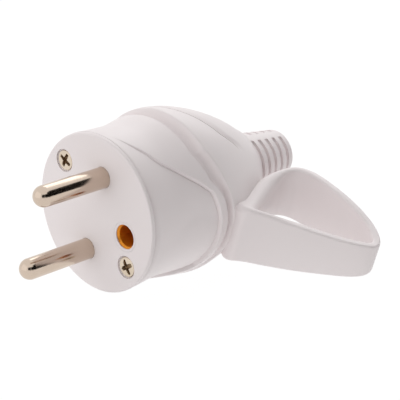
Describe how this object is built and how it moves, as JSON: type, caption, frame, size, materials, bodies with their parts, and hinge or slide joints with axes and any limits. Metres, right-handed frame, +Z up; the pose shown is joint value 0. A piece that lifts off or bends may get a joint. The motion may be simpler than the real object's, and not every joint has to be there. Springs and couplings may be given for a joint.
{
  "type": "mains plug with pull ring",
  "caption": "Round rewirable mains plug with plated pins, recessed earth socket, flowing hollow cover, side pull ring and ribbed cable sleeve.",
  "frame": {"origin": "centre of the engagement face, midway between the two pins", "axes": "+X from the face to the cable end along the plug's axis; +Z up with the plug lying on its side on its cover and pull ring, the ring towards -Y"},
  "size_m": [0.079, 0.0618, 0.0394],
  "materials": {
    "face_plastic": "satin moulded",
    "cover_plastic": "satin moulded",
    "sleeve_plastic": "soft satin",
    "inner_plastic": "moulded",
    "nickel_pin": "nickel plated",
    "earth_brass": "drawn",
    "spring_steel": "bright",
    "screw_nickel": "nickel plated",
    "screw_steel": "zinc plated"
  },
  "bodies": {
    "root": {"cable_sleeve": "sleeve_plastic", "cord_grip_bar": "inner_plastic", "cord_grip_screw_lower": "screw_steel", "cord_grip_screw_upper": "screw_steel", "cover": "cover_plastic", "cover_screw_lower": "screw_nickel", "cover_screw_upper": "screw_nickel", "earth_sleeve": "earth_brass", "earth_spring_ring": "spring_steel", "earth_terminal_screw": "screw_steel", "line_pin": "nickel_pin", "line_terminal_screw": "screw_steel", "neutral_pin": "nickel_pin", "neutral_terminal_screw": "screw_steel", "pin_carrier": "face_plastic", "pin_retainer": "inner_plastic", "retainer_screw": "screw_steel"}
  },
  "joints": []
}
